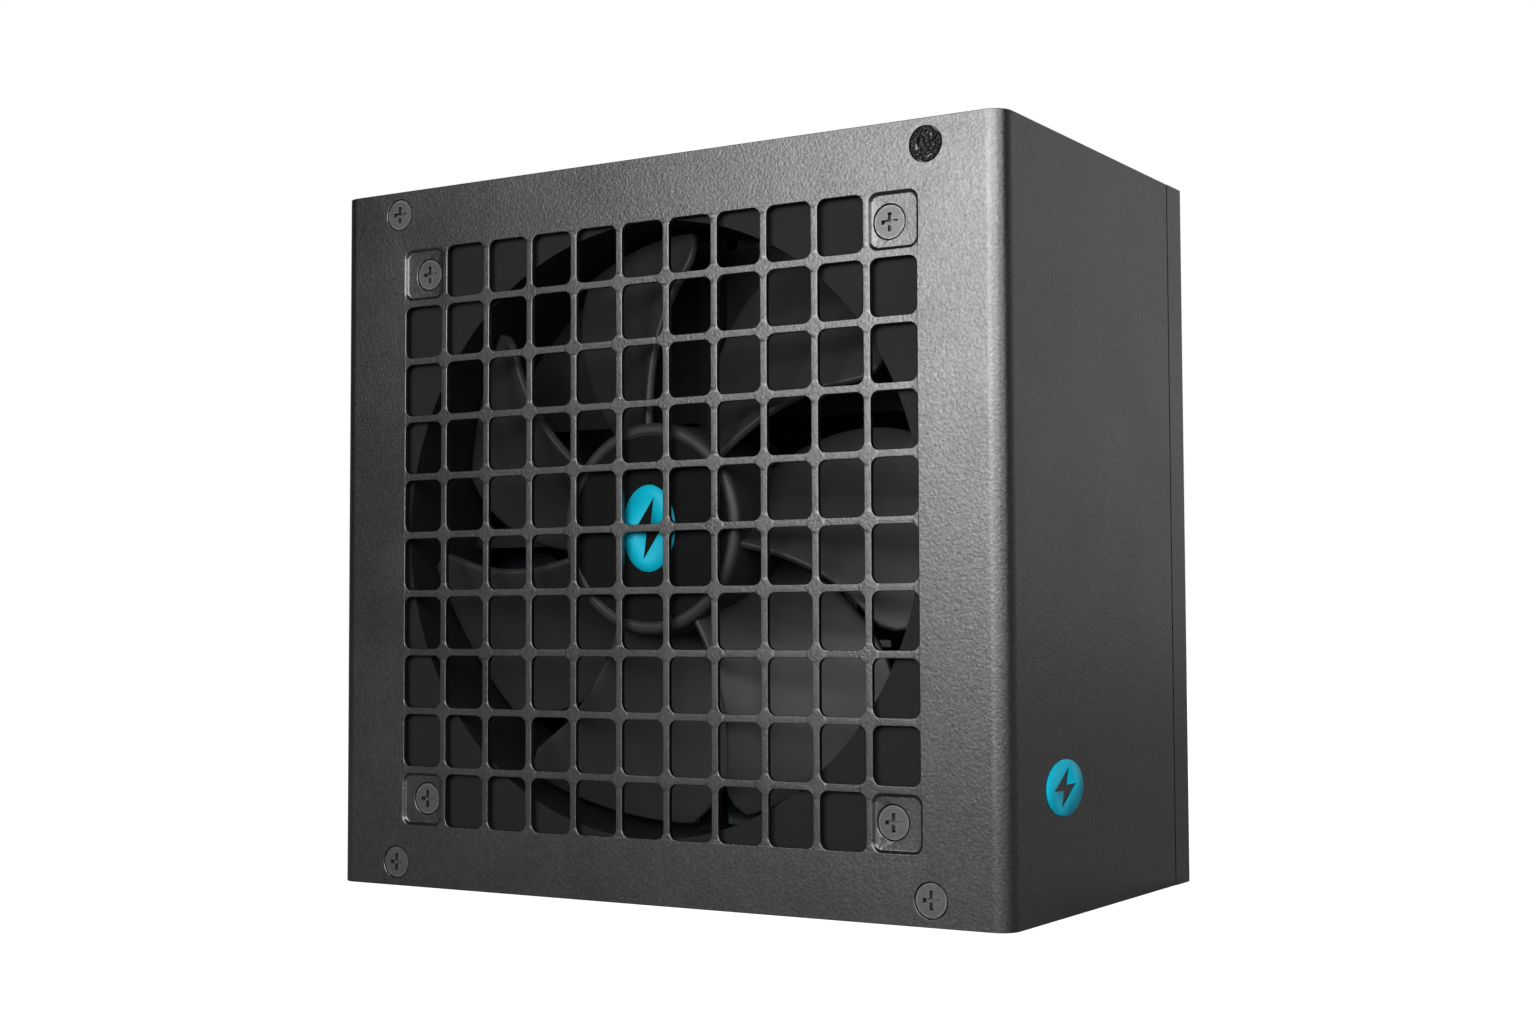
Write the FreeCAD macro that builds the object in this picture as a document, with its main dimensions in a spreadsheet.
import FreeCAD, Part
import Sketcher
import math
import os
import re

# A modular computer power supply with a 120 mm fan, in millimetres.
# X runs across the fan face, Y from the fan face (front) to the tray (back) and Z up,
# from the socket panel the unit stands on (Z = 0) to the mains panel on top.

V = FreeCAD.Vector
Constraint = Sketcher.Constraint
doc = FreeCAD.newDocument("power_supply")
sheet = doc.addObject("Spreadsheet::Sheet", "sizes")
aliases = []
nodes = []


# ---------------------------------------------------------------- sheet and bindings

def size(alias, value):
    """One driving dimension: its name in column A, its value in column B."""
    aliases.append(alias)
    row = len(aliases)
    sheet.set(f"A{row}", alias)
    sheet.set(f"B{row}", str(value))
    sheet.setAlias(f"B{row}", alias)


def formula(text):
    """Point each alias in a formula at the sheet."""
    def qualify(word):
        return f"sizes.{word.group()}" if word.group() in aliases else word.group()
    return re.sub(r"[a-z][a-z_0-9]*", qualify, str(text))


def bind(thing, prop, text):
    thing.setExpression(prop, formula(text))


def node(thing, label):
    """Name a finished sub-part: the label is also its file name."""
    thing.Label = label
    nodes.append(thing)
    return thing


# ---------------------------------------------------------------- sketches

def plane(body, role):
    return next(face for face in body.Origin.OriginFeatures if face.Role == role)


def new_body(name, separate_solids=False):
    body = doc.addObject("PartDesign::Body", name)
    body.AllowCompound = separate_solids
    return body


def sketch(body, name, role, lift="0"):
    """A sketch on one of the body's own planes, lifted along that plane's normal."""
    drawing = body.newObject("Sketcher::SketchObject", name)
    drawing.AttachmentSupport = [(plane(body, role), "")]
    drawing.MapMode = "FlatFace"
    bind(drawing, "AttachmentOffset.Base.z", lift)
    return drawing


def fix_point(drawing, edge, end, across, up):
    """Hold one end of an edge at a place given by two formulas."""
    for kind, text in (("DistanceX", across), ("DistanceY", up)):
        index = drawing.addConstraint(Constraint(kind, -1, 1, edge, end, 1.0))
        bind(drawing, f"Constraints[{index}]", text)


def outline(drawing, corners):
    """A closed polygon whose corners are pairs of formulas."""
    first = drawing.GeometryCount
    count = len(corners)
    turn = 2 * math.pi / count
    start = [V(math.cos(i * turn), math.sin(i * turn), 0) for i in range(count)]
    for i in range(count):
        drawing.addGeometry(Part.LineSegment(start[i], start[(i + 1) % count]), False)
    for i in range(count):
        drawing.addConstraint(Constraint("Coincident", first + i, 2, first + (i + 1) % count, 1))
    for i, (across, up) in enumerate(corners):
        fix_point(drawing, first + i, 1, across, up)


def rectangle(drawing, x, y, wide, tall):
    left, right = f"{x} - ({wide})/2", f"{x} + ({wide})/2"
    low, high = f"{y} - ({tall})/2", f"{y} + ({tall})/2"
    outline(drawing, [(left, low), (right, low), (right, high), (left, high)])


def rounded_rectangle(drawing, x, y, wide, tall, corner):
    """Four sides and four equal corner arcs, tangent all round."""
    n = drawing.GeometryCount
    a, b, r = 8, 6, 1
    sides = [(V(r - a, -b, 0), V(a - r, -b, 0)), (V(a, r - b, 0), V(a, b - r, 0)),
             (V(a - r, b, 0), V(r - a, b, 0)), (V(-a, b - r, 0), V(-a, r - b, 0))]
    middles = [V(a - r, r - b, 0), V(a - r, b - r, 0), V(r - a, b - r, 0), V(r - a, r - b, 0)]
    for side in sides:
        drawing.addGeometry(Part.LineSegment(*side), False)
    for i, middle in enumerate(middles):
        start = (i - 1) * math.pi / 2
        ring = Part.Circle(middle, V(0, 0, 1), r)
        drawing.addGeometry(Part.ArcOfCircle(ring, start, start + math.pi / 2), False)
    for i in range(4):
        drawing.addConstraint(Constraint("Tangent", n + i, 2, n + 4 + i, 1))
        drawing.addConstraint(Constraint("Tangent", n + 4 + i, 2, n + (i + 1) % 4, 1))
        drawing.addConstraint(Constraint("Vertical" if i % 2 else "Horizontal", n + i))
    for i in range(1, 4):
        drawing.addConstraint(Constraint("Equal", n + 4, n + 4 + i))
    index = drawing.addConstraint(Constraint("Radius", n + 4, r))
    bind(drawing, f"Constraints[{index}]", corner)
    limits = [("DistanceX", n + 3, f"{x} - ({wide})/2"), ("DistanceX", n + 1, f"{x} + ({wide})/2"),
              ("DistanceY", n, f"{y} - ({tall})/2"), ("DistanceY", n + 2, f"{y} + ({tall})/2")]
    for kind, edge, text in limits:
        index = drawing.addConstraint(Constraint(kind, -1, 1, edge, 1, 1.0))
        bind(drawing, f"Constraints[{index}]", text)


def circle(drawing, x, y, radius):
    edge = drawing.GeometryCount
    drawing.addGeometry(Part.Circle(V(1, 1, 0), V(0, 0, 1), 1), False)
    index = drawing.addConstraint(Constraint("Radius", edge, 1))
    bind(drawing, f"Constraints[{index}]", radius)
    fix_point(drawing, edge, 3, x, y)


# ---------------------------------------------------------------- body features

def pad(body, name, drawing, length):
    feature = body.newObject("PartDesign::Pad", name)
    feature.Profile = drawing
    bind(feature, "Length", length)
    return feature


def pocket(body, name, drawing, depth, taper=0):
    """Cut against the sketch's normal; a negative taper narrows the cut as it goes in."""
    feature = body.newObject("PartDesign::Pocket", name)
    feature.Profile = drawing
    feature.Type = "Length"
    bind(feature, "Length", depth)
    feature.TaperAngle = taper
    return feature


def turned(body, name, drawing):
    """Revolve a half profile about the sketch's own vertical axis."""
    feature = body.newObject("PartDesign::Revolution", name)
    feature.Profile = drawing
    feature.ReferenceAxis = (drawing, ["V_Axis"])
    feature.Angle = 360
    return feature


def grid(body, name, originals, drawing, *runs):
    """Repeat features along the sketch's H and V axes in turn; a run is a count and its span."""
    array = body.newObject("PartDesign::MultiTransform", name)
    array.Originals = originals
    steps = []
    for i, (count, span) in enumerate(runs):
        if count > 1:
            line = body.newObject("PartDesign::LinearPattern", f"{name}_run_{i}")
            line.Direction = (drawing, ["V_Axis" if i % 2 else "H_Axis"])
            line.Occurrences = count
            bind(line, "Length", span)
            steps.append(line)
    array.Transformations = steps
    body.Tip = array
    return array


def edges_where(shape, test):
    return [f"Edge{i + 1}" for i, edge in enumerate(shape.Edges) if test(edge.BoundBox)]


def fillet(body, name, base, names, radius):
    feature = body.newObject("PartDesign::Fillet", name)
    feature.Base = (base, names)
    bind(feature, "Radius", radius)
    body.Tip = feature
    return feature


def shell(body, name, base, names, wall):
    feature = body.newObject("PartDesign::Thickness", name)
    feature.Base = (base, names)
    bind(feature, "Value", wall)
    feature.Reversed = True
    body.Tip = feature
    return feature


# ---------------------------------------------------------------- primitives

TURN = {"x": FreeCAD.Rotation(V(0, 1, 0), 90), "y": FreeCAD.Rotation(V(1, 0, 0), -90),
        "z": FreeCAD.Rotation()}


def put(thing, x, y, z, along="z"):
    thing.Placement = FreeCAD.Placement(V(0, 0, 0), TURN[along])
    for axis, text in zip("xyz", (x, y, z)):
        bind(thing, f"Placement.Base.{axis}", text)
    return thing


def block(name, middle, spans):
    """A box given by its middle and its spans in X, Y and Z."""
    box = doc.addObject("Part::Box", name)
    for side, text in zip(("Length", "Width", "Height"), spans):
        bind(box, side, text)
    corner = [f"({at}) - ({span})/2" for at, span in zip(middle, spans)]
    return put(box, *corner)


def rod(name, start, radius, length, along="y"):
    """A cylinder from the middle of its first face, running along +X, +Y or +Z."""
    cylinder = doc.addObject("Part::Cylinder", name)
    bind(cylinder, "Radius", radius)
    bind(cylinder, "Height", length)
    return put(cylinder, *start, along)


def ring(name, middle, ring_radius, tube_radius, along="y", sweep=360):
    torus = doc.addObject("Part::Torus", name)
    bind(torus, "Radius1", ring_radius)
    bind(torus, "Radius2", tube_radius)
    torus.Angle3 = sweep
    return put(torus, *middle, along)


def cut(name, base, *tools):
    result = doc.addObject("Part::Cut", name)
    result.Base = base
    result.Tool = tools[0] if len(tools) == 1 else group(f"{name}_tools", tools)
    return result


def fuse(name, *pieces):
    result = doc.addObject("Part::MultiFuse", name)
    result.Shapes = list(pieces)
    return result


def group(name, pieces):
    """Separate solids kept together in one node."""
    result = doc.addObject("Part::Compound", name)
    result.Links = list(pieces)
    return result


def tube(name, start, outer, inner, length, along="y"):
    return cut(name, rod(f"{name}_outer", start, outer, length, along),
               rod(f"{name}_inner", start, inner, length, along))


def wire(name, radius, points):
    """A round wire through hand-placed points: straight runs joined by tangent arcs."""
    runs = [(b - a).Length for a, b in zip(points, points[1:])]
    edges = []
    last = points[0]
    for i in range(1, len(points) - 1):
        back = (points[i - 1] - points[i]).normalize()
        on = (points[i + 1] - points[i]).normalize()
        half_turn = (math.pi - back.getAngle(on)) / 2
        reach = 0.45 * min(runs[i - 1], runs[i])
        begin = points[i] + back * reach
        end = points[i] + on * reach
        bow = (back + on).normalize()
        bend = reach / math.tan(half_turn)
        centre = points[i] + bow * math.hypot(reach, bend)
        middle = centre - bow * bend
        print(name, "bend radius", round(bend, 1))
        edges.append(Part.LineSegment(last, begin).toShape())
        edges.append(Part.Arc(begin, middle, end).toShape())
        last = end
    edges.append(Part.LineSegment(last, points[-1]).toShape())
    path = Part.Wire(edges)
    section = Part.Wire(Part.makeCircle(radius, points[0], points[1] - points[0]))
    solid = path.makePipeShell([section], True, False)
    length = sum(edge.Length for edge in edges)
    print(name, "volume", round(solid.Volume, 1), "of", round(math.pi * radius ** 2 * length, 1))
    thing = doc.addObject("Part::Feature", name)
    thing.Shape = solid
    return thing


# ---------------------------------------------------------------- driving dimensions

# Case sheets
size("case_width", 150)
size("case_depth", 86)
size("case_height", 140)
size("sheet_thick", 1)
size("cover_bend", 3.5)
size("tray_bend", 2)
size("lip_width", 9)
size("seam_gap", 0.4)
size("nest_gap", 0.1)
size("flange_wide", 9.6)
size("sticker_thick", 0.15)
# Fan grille and its sunk screw pads
size("cell_wide", 9.3)
size("cell_tall", 10.3)
size("cell_corner", 1.55)
size("cell_step_across", 10.7)
size("cell_step_up", 11.7)
size("pad_sink", 0.6)
size("pad_wide", 9.4)
size("pad_rim", 0.6)
# Screws: countersunk case and fan screws share one head
size("head_radius", 3)
size("head_cone", 0.9)
size("thread_radius", 1.5)
size("screw_reach", 5)
size("screw_gap", 0.1)
size("cross_wide", 0.8)
size("cross_long", 3.4)
size("cross_deep", 0.9)
size("case_screw_inset", 15)
size("case_screw_edge", 4.65)
# Mains panel: four mounting holes and hexagonal vents
size("mount_edge", 6)
size("mount_tap", 1.4)
size("mount_collar", 2.6)
size("mount_length", 2.5)
size("mount_drop_near", 64)
size("mount_drop_far", 74)
size("mount_run_far", 114)
size("vent_flat", 6.4)
size("vent_step", 7.6)
size("vent_edge", 15)
# Fan
size("fan_size", 120)
size("fan_depth", 25)
size("fan_bore", 58)
size("fan_hole_step", 105)
size("fan_hole", 2.2)
size("fan_flange", 4)
size("hub_radius", 20)
size("hub_length", 18.5)
size("hub_wall", 1.5)
size("hub_face", 2)
size("hub_chamfer", 1.3)
size("hub_inset", 0.5)
size("hub_label_radius", 17.8)
size("blade_tip", 56.6)
size("blade_thick", 1.8)
size("shaft_radius", 1.5)
size("shaft_gap", 0.05)
size("bearing_wall", 1.5)
size("bearing_length", 13)
size("post_wall", 1.4)
size("motor_base", 21)
size("base_thick", 2)
# Mains inlet and rocker switch
size("inlet_x", 28)
size("panel_parts_y", 23)
size("inlet_flange_wide", 50)
size("inlet_flange_tall", 22.5)
size("inlet_flange_thick", 2.5)
size("inlet_screw_step", 40)
size("inlet_hollow_wide", 24.6)
size("inlet_hollow_tall", 16.6)
size("inlet_hollow_deep", 16.5)
size("inlet_wall", 1.4)
size("inlet_floor", 2)
size("prong_wide", 4)
size("prong_thick", 2)
size("prong_step", 14)
size("prong_high", 13.5)
size("tab_long", 8)
size("switch_x", 69)
size("switch_wide", 13)
size("switch_tall", 19)
size("switch_rim", 1.2)
size("switch_deep", 18)
size("rocker_wide", 9.6)
size("rocker_tall", 15)
size("rocker_gap", 0.5)
size("rocker_pin", 1.2)
size("rocker_pin_gap", 0.06)
size("rocker_tilt", 8)
# Main board and what stands on it
size("standoff_height", 5.4)
size("standoff_radius", 3)
size("board_thick", 1.6)
size("board_side_gap", 6)
size("board_low", 15)
size("board_top_gap", 12)
size("sheet_film", 0.4)
size("bulk_radius", 15)
size("bulk_height", 45)
size("sink_thick", 3)
# Modular socket board
size("pin_step", 4.2)
size("socket_wide", 9.6)
size("socket_wall", 0.8)
size("socket_well", 3.4)
size("socket_high", 10.7)
size("socket_floor", 2)
size("socket_sink", 0.3)
size("socket_gap", 0.15)
size("socket_row_step", 14)
size("socket_column_step", 22)
size("socket_row_back", 17)
doc.recompute()

RIGHT = "case_width/2"
LEFT = "0 - case_width/2"
FRONT = "0 - case_depth/2"
BACK = "case_depth/2"
MIDDLE_UP = "case_height/2"
INNER_RIGHT = "(case_width/2 - sheet_thick - nest_gap)"
PAD_FACE = "(pad_sink - case_depth/2)"
FAN_FRONT = "(pad_sink + sheet_thick - case_depth/2)"
FAN_BACK = "(pad_sink + sheet_thick + fan_depth - case_depth/2)"
HUB_FRONT = "(pad_sink + sheet_thick + hub_inset - case_depth/2)"
BOARD_BACK = "(case_depth/2 - sheet_thick - standoff_height)"
BOARD_FACE = "(case_depth/2 - sheet_thick - standoff_height - board_thick)"
PANEL_Y = "(case_depth/2 - panel_parts_y)"
INLET_X = "(inlet_x - case_width/2)"
SWITCH_X = "(switch_x - case_width/2)"
GRID_COLUMNS = 11
GRID_ROWS = 10


# ---------------------------------------------------------------- case

def countersink(body, name, across, up, head, depth):
    """A 45 degree sunk hole for a flat screw head, in a sketch on the front."""
    drawing = sketch(body, f"{name}_ring", "XZ_Plane", head)
    for x in across:
        for z in up:
            circle(drawing, x, z, "head_radius + screw_gap + sticker_thick")
    pocket(body, name, drawing, depth, taper=-45)


def fan_cover():
    """One folded sheet: the fan face, both bends and the sides up to the seam."""
    body = new_body("cover_front")
    span = "(cover_bend + 2)"
    profile = sketch(body, "cover_profile", "XY_Plane")
    rectangle(profile, "0", f"{span}/2 - case_depth/2", "case_width", span)
    solid = pad(body, "cover_block", profile, "case_height")
    doc.recompute()
    bends = edges_where(solid.Shape, lambda b: b.ZLength > 1 and b.YMax < 1 - sheet.case_depth / 2)
    folded = fillet(body, "cover_bends", solid, bends, "cover_bend")
    doc.recompute()
    back_y = sheet.cover_bend + 2 - sheet.case_depth / 2
    open_faces = [f"Face{i + 1}" for i, face in enumerate(folded.Shape.Faces)
                  if face.BoundBox.ZLength < 1e-6 or face.BoundBox.YMin > back_y - 1e-3]
    shell(body, "cover_sheet", folded, open_faces, "sheet_thick")

    outer_x = "(cell_step_across*5)"
    outer_z = "(cell_step_up*4.5)"
    pads = [(f"{sx}*{outer_x}", f"{MIDDLE_UP} + {sz}*{outer_z}") for sx in (-1, 1) for sz in (-1, 1)]
    boss = sketch(body, "pad_backs", "XZ_Plane", "case_depth/2 - sheet_thick - pad_sink")
    for x, z in pads:
        rounded_rectangle(boss, x, z, "pad_wide + 2*pad_rim", "pad_wide + 2*pad_rim", "cell_corner")
    pad(body, "pad_bosses", boss, "pad_sink")
    sunk = sketch(body, "pad_fronts", "XZ_Plane", "case_depth/2")
    for x, z in pads:
        rounded_rectangle(sunk, x, z, "pad_wide", "pad_wide", "cell_corner")
    pocket(body, "pad_recesses", sunk, "pad_sink")

    cell = sketch(body, "first_cell", "XZ_Plane", "case_depth/2")
    rounded_rectangle(cell, f"-1*{outer_x}", f"{MIDDLE_UP} - cell_step_up*3.5",
                      "cell_wide", "cell_tall", "cell_corner")
    opening = pocket(body, "first_opening", cell, "sheet_thick*2")
    doc.recompute()
    grid(body, "grille", [opening], cell, (GRID_COLUMNS, "cell_step_across*10"),
         (GRID_ROWS - 2, "cell_step_up*7"))
    edge_cell = sketch(body, "edge_cell", "XZ_Plane", "case_depth/2")
    rounded_rectangle(edge_cell, "-4*cell_step_across", f"{MIDDLE_UP} - {outer_z}",
                      "cell_wide", "cell_tall", "cell_corner")
    edge_opening = pocket(body, "edge_opening", edge_cell, "sheet_thick*2")
    doc.recompute()
    grid(body, "grille_edges", [edge_opening], edge_cell,
         (GRID_COLUMNS - 2, "cell_step_across*8"), (2, "cell_step_up*9"))

    across = [f"{side}*fan_hole_step/2" for side in (-1, 1)]
    up = [f"{MIDDLE_UP} + {side}*fan_hole_step/2" for side in (-1, 1)]
    countersink(body, "fan_screw_holes", across, up, "case_depth/2 - pad_sink", "sheet_thick")
    across = [f"{side}*(case_width/2 - case_screw_inset)" for side in (-1, 1)]
    up = ["case_screw_edge", "case_height - case_screw_edge"]
    countersink(body, "case_screw_holes", across, up, "case_depth/2", "sheet_thick")

    reach = f"(case_depth - lip_width - seam_gap - {span})"
    middle_y = f"{span}/2 - lip_width/2 - seam_gap/2"
    sides = [block(f"cover_side_{i}", (f"{side}*(case_width/2 - sheet_thick/2)", middle_y, MIDDLE_UP),
                   ("sheet_thick", reach, "case_height")) for i, side in enumerate((-1, 1))]
    return node(group("cover_sheet_runs", [body, *sides]), "fan_cover")


SOCKET_BACK_ROW = "(case_depth/2 - socket_row_back)"
SOCKET_24_X = "(0 - 1.75*socket_column_step)"
SOCKET_8_X = "(0.25*socket_column_step)"
SOCKET_6_X = "(0 - 2.75*socket_column_step)"


def socket_places():
    """Middles in X and Y and pin columns of every socket in the modular panel."""
    places = [(SOCKET_24_X, SOCKET_BACK_ROW, 12)]
    for first_x, columns, rows in ((SOCKET_8_X, 4, (0, 1)), (SOCKET_6_X, 3, (1, 2))):
        places += [(f"{first_x} + {column}*socket_column_step",
                    f"{SOCKET_BACK_ROW} - {row}*socket_row_step", columns)
                   for row in rows for column in range(3)]
    return places


def tray():
    """Back sheet with side lips, both end panels and the front flanges."""
    body = new_body("tray")
    profile = sketch(body, "tray_profile", "XY_Plane")
    rectangle(profile, "0", f"{BACK} - lip_width/2", "case_width", "lip_width")
    solid = pad(body, "tray_block", profile, "case_height")
    doc.recompute()
    bends = edges_where(solid.Shape, lambda b: b.YMin > sheet.case_depth / 2 - 1e-6
                        and (b.ZLength > 1 or b.XLength > 1))
    folded = fillet(body, "tray_bends", solid, bends, "tray_bend")
    doc.recompute()
    open_faces = [f"Face{i + 1}" for i, face in enumerate(folded.Shape.Faces)
                  if face.BoundBox.YMax < sheet.case_depth / 2 - sheet.lip_width + 1e-6]
    shell(body, "tray_sheet", folded, open_faces, "sheet_thick")

    front = "(case_depth/2 - sheet_thick - nest_gap)"
    run = f"({front} + case_depth/2 - lip_width + sheet_thick)"
    for name, lift in (("socket_panel", "0"), ("mains_panel", "case_height - sheet_thick")):
        panel = sketch(body, f"{name}_shape", "XY_Plane", lift)
        far, near, nose = f"{run} - {front}", f"0 - {front}", "(cover_bend - sheet_thick)"
        outline(panel, [(f"0 - {INNER_RIGHT}", far), (f"0 - {INNER_RIGHT}", f"{near} + {nose}"),
                        (f"{nose} - {INNER_RIGHT}", near), (f"{INNER_RIGHT} - {nose}", near),
                        (INNER_RIGHT, f"{near} + {nose}"), (INNER_RIGHT, far)])
        pad(body, name, panel, "sheet_thick")
    flanges = sketch(body, "flange_shape", "XZ_Plane", f"{front} - sheet_thick")
    for z in ("flange_wide/2", "case_height - flange_wide/2"):
        rectangle(flanges, "0", z, f"2*({INNER_RIGHT} - cover_bend)", "flange_wide")
    pad(body, "flanges", flanges, "sheet_thick")
    taps = sketch(body, "flange_taps", "XZ_Plane", front)
    for side in (-1, 1):
        for z in ("case_screw_edge", "case_height - case_screw_edge"):
            circle(taps, f"{side}*(case_width/2 - case_screw_inset)", z, "thread_radius + screw_gap")
    pocket(body, "flange_holes", taps, "sheet_thick*2")

    collars = sketch(body, "collar_shape", "XY_Plane", "case_height - mount_length")
    for x, y in mount_places():
        circle(collars, x, y, "mount_collar")
    pad(body, "mount_collars", collars, "mount_length - sheet_thick/2")
    holes = sketch(body, "panel_holes", "XY_Plane", "case_height")
    for x, y in mount_places():
        circle(holes, x, y, "mount_tap")
    rectangle(holes, INLET_X, PANEL_Y, "inlet_hollow_wide + 2*inlet_wall + 2*nest_gap",
              "inlet_hollow_tall + 2*inlet_wall + 2*nest_gap")
    rectangle(holes, SWITCH_X, PANEL_Y, "switch_wide + 2*nest_gap", "switch_tall + 2*nest_gap")
    for side in (-1, 1):
        circle(holes, f"{INLET_X} + {side}*inlet_screw_step/2", PANEL_Y, "thread_radius + screw_gap")
    pocket(body, "panel_cuts", holes, "mount_length + sheet_thick")

    mouths = sketch(body, "socket_mouths", "XY_Plane", "sheet_thick")
    for x, y, columns in socket_places():
        rectangle(mouths, x, y, f"pin_step*{columns} + 2*socket_gap + socket_wall",
                  "socket_wide + 2*socket_gap")
    pocket(body, "socket_cuts", mouths, "sheet_thick*2")
    vents(body)
    return node(body, "tray")


def mount_places():
    """The four case-mounting holes of the mains panel, in X and Y."""
    left, right = "mount_edge - case_width/2", "case_width/2 - mount_edge"
    back = "case_depth/2 - mount_edge"
    return [(left, back), (right, back), (left, f"{back} - mount_drop_near"),
            (f"{left} + mount_run_far", f"{back} - mount_drop_far")]


def vents(body):
    """Hexagonal vents: a band along the front and a field beside the switch."""
    rise = "(vent_step*0.8660254)"
    start_x = "(vent_edge - case_width/2)"
    start_y = "(vent_edge - case_depth/2)"
    # first column, first row, columns and rows; every second row is shifted by half a step
    fields = [(0, 0, 17, 2), (0.5, 1, 16, 1), (9, 4, 8, 3), (9.5, 3, 7, 3)]
    for i, (column, row, columns, rows) in enumerate(fields):
        drawing = sketch(body, f"vent_{i}", "XY_Plane", "case_height")
        corners = []
        for k in range(6):
            angle = math.radians(60 * k + 30)
            reach = "vent_flat/1.7320508"
            corners.append((f"{start_x} + {column}*vent_step + {math.cos(angle):.7f}*{reach}",
                            f"{start_y} + {row}*{rise} + {math.sin(angle):.7f}*{reach}"))
        outline(drawing, corners)
        opening = pocket(body, f"vent_cut_{i}", drawing, "sheet_thick*2")
        doc.recompute()
        grid(body, f"vents_{i}", [opening], drawing, (columns, f"vent_step*{columns - 1}"),
             (rows, f"{rise}*2*{rows - 1}"))


def flat_screws(label, front, across, up, step_across, step_up):
    """Four flat-head screws with a cross recess, driven in from the front."""
    body = new_body(label, separate_solids=True)
    head = sketch(body, f"{label}_head", "XZ_Plane", f"0 - {front}")
    circle(head, across, up, "head_radius")
    cone = pad(body, f"{label}_cone", head, "head_cone")
    cone.Reversed = True
    cone.TaperAngle = -45
    thread = sketch(body, f"{label}_thread", "XZ_Plane", f"0 - {front} - head_cone")
    circle(thread, across, up, "thread_radius")
    shank = pad(body, f"{label}_shank", thread, "screw_reach")
    shank.Reversed = True
    cross = sketch(body, f"{label}_cross", "XZ_Plane", f"0 - {front}")
    arm, half = "cross_long/2", "cross_wide/2"
    corners = [(arm, f"0-{half}"), (arm, half), (half, half), (half, arm), (f"0-{half}", arm),
               (f"0-{half}", half), (f"0-{arm}", half), (f"0-{arm}", f"0-{half}"),
               (f"0-{half}", f"0-{half}"), (f"0-{half}", f"0-{arm}"), (half, f"0-{arm}"),
               (half, f"0-{half}")]
    outline(cross, [(f"{across} + {x}", f"{up} + {z}") for x, z in corners])
    recess = pocket(body, f"{label}_recess", cross, "cross_deep")
    doc.recompute()
    grid(body, f"{label}_set", [cone, shank, recess], head, (2, step_across), (2, step_up))
    return node(body, label)


def case_fasteners():
    inset = "(case_width/2 - case_screw_inset)"
    flat_screws("case_screws", f"({FRONT} + sticker_thick)", f"-1*{inset}", "case_screw_edge",
                f"2*{inset}", "case_height - 2*case_screw_edge")
    flat_screws("fan_screws", f"({PAD_FACE} + sticker_thick)", "-1*fan_hole_step/2",
                f"({MIDDLE_UP} - fan_hole_step/2)", "fan_hole_step", "fan_hole_step")
    seal = rod("screw_seal", (inset, FRONT, "case_height - case_screw_edge"), "head_radius",
               "sticker_thick")
    node(seal, "screw_seal")


def bolt_corners(x, y, wide, tall):
    """Six corners of a plain lightning flash about a middle."""
    shape = [(0.12, 0.5), (-0.5, -0.06), (-0.06, -0.06), (-0.12, -0.5), (0.5, 0.06), (0.06, 0.06)]
    return [(f"{x} + {a}*{wide}", f"{y} + {b}*{tall}") for a, b in shape]


def side_stickers():
    """A cyan flash on the right side and a blank rating label on the left."""
    badge = new_body("side_badge")
    drawing = sketch(badge, "badge_outline", "YZ_Plane", RIGHT)
    outline(drawing, bolt_corners("(22.7 - case_depth/2)", "22.9", 16, 10))
    pad(badge, "badge_film", drawing, "sticker_thick")
    node(badge, "side_badge")
    label = new_body("rating_label")
    drawing = sketch(label, "label_outline", "YZ_Plane", f"{LEFT} - sticker_thick")
    rounded_rectangle(drawing, "(0 - lip_width/2)", MIDDLE_UP, "case_depth - 26",
                      "case_height - 28", "cover_bend")
    pad(label, "label_film", drawing, "sticker_thick")
    node(label, "rating_label")


def insulation_film():
    """The film between the board's solder side and the tray, cleared round the standoffs."""
    film = block("film", ("0", f"{BACK} - sheet_thick - sheet_film/2", MIDDLE_UP),
                 (f"2*({INNER_RIGHT} - sheet_thick*2)", "sheet_film", "case_height - 24"))
    holes = [rod(f"film_hole_{i}", (x, f"{BOARD_BACK}", z), "standoff_radius + nest_gap*2",
                 "standoff_height") for i, (x, z) in enumerate(standoff_places())]
    node(cut("insulation_film", film, *holes), "insulation_film")


def standoff_places():
    across = f"({INNER_RIGHT} - board_side_gap - standoff_radius*2)"
    return [(f"{side}*{across}", z) for side in (-1, 1)
            for z in ("board_low + standoff_radius*2", "case_height - board_top_gap - standoff_radius*2")]


# ---------------------------------------------------------------- fan

POST_RADIUS = "(shaft_radius + shaft_gap + bearing_wall + post_wall)"
BEARING_RADIUS = "(shaft_radius + shaft_gap + bearing_wall)"
BASE_FACE = f"({FAN_BACK} - base_thick)"
POST_TOP = f"({BASE_FACE} - bearing_length - 3)"
CLIP_FRONT = f"({POST_TOP} + bearing_length + 0.8)"
BLADES = 7


def to_fan_axis(thing):
    """Fan bodies are drawn about the Y axis and lifted to the middle of the face."""
    bind(thing, "Placement.Base.z", MIDDLE_UP)
    return thing


def backward_pad(body, name, drawing, length):
    feature = pad(body, name, drawing, length)
    feature.Reversed = True
    return feature


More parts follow.
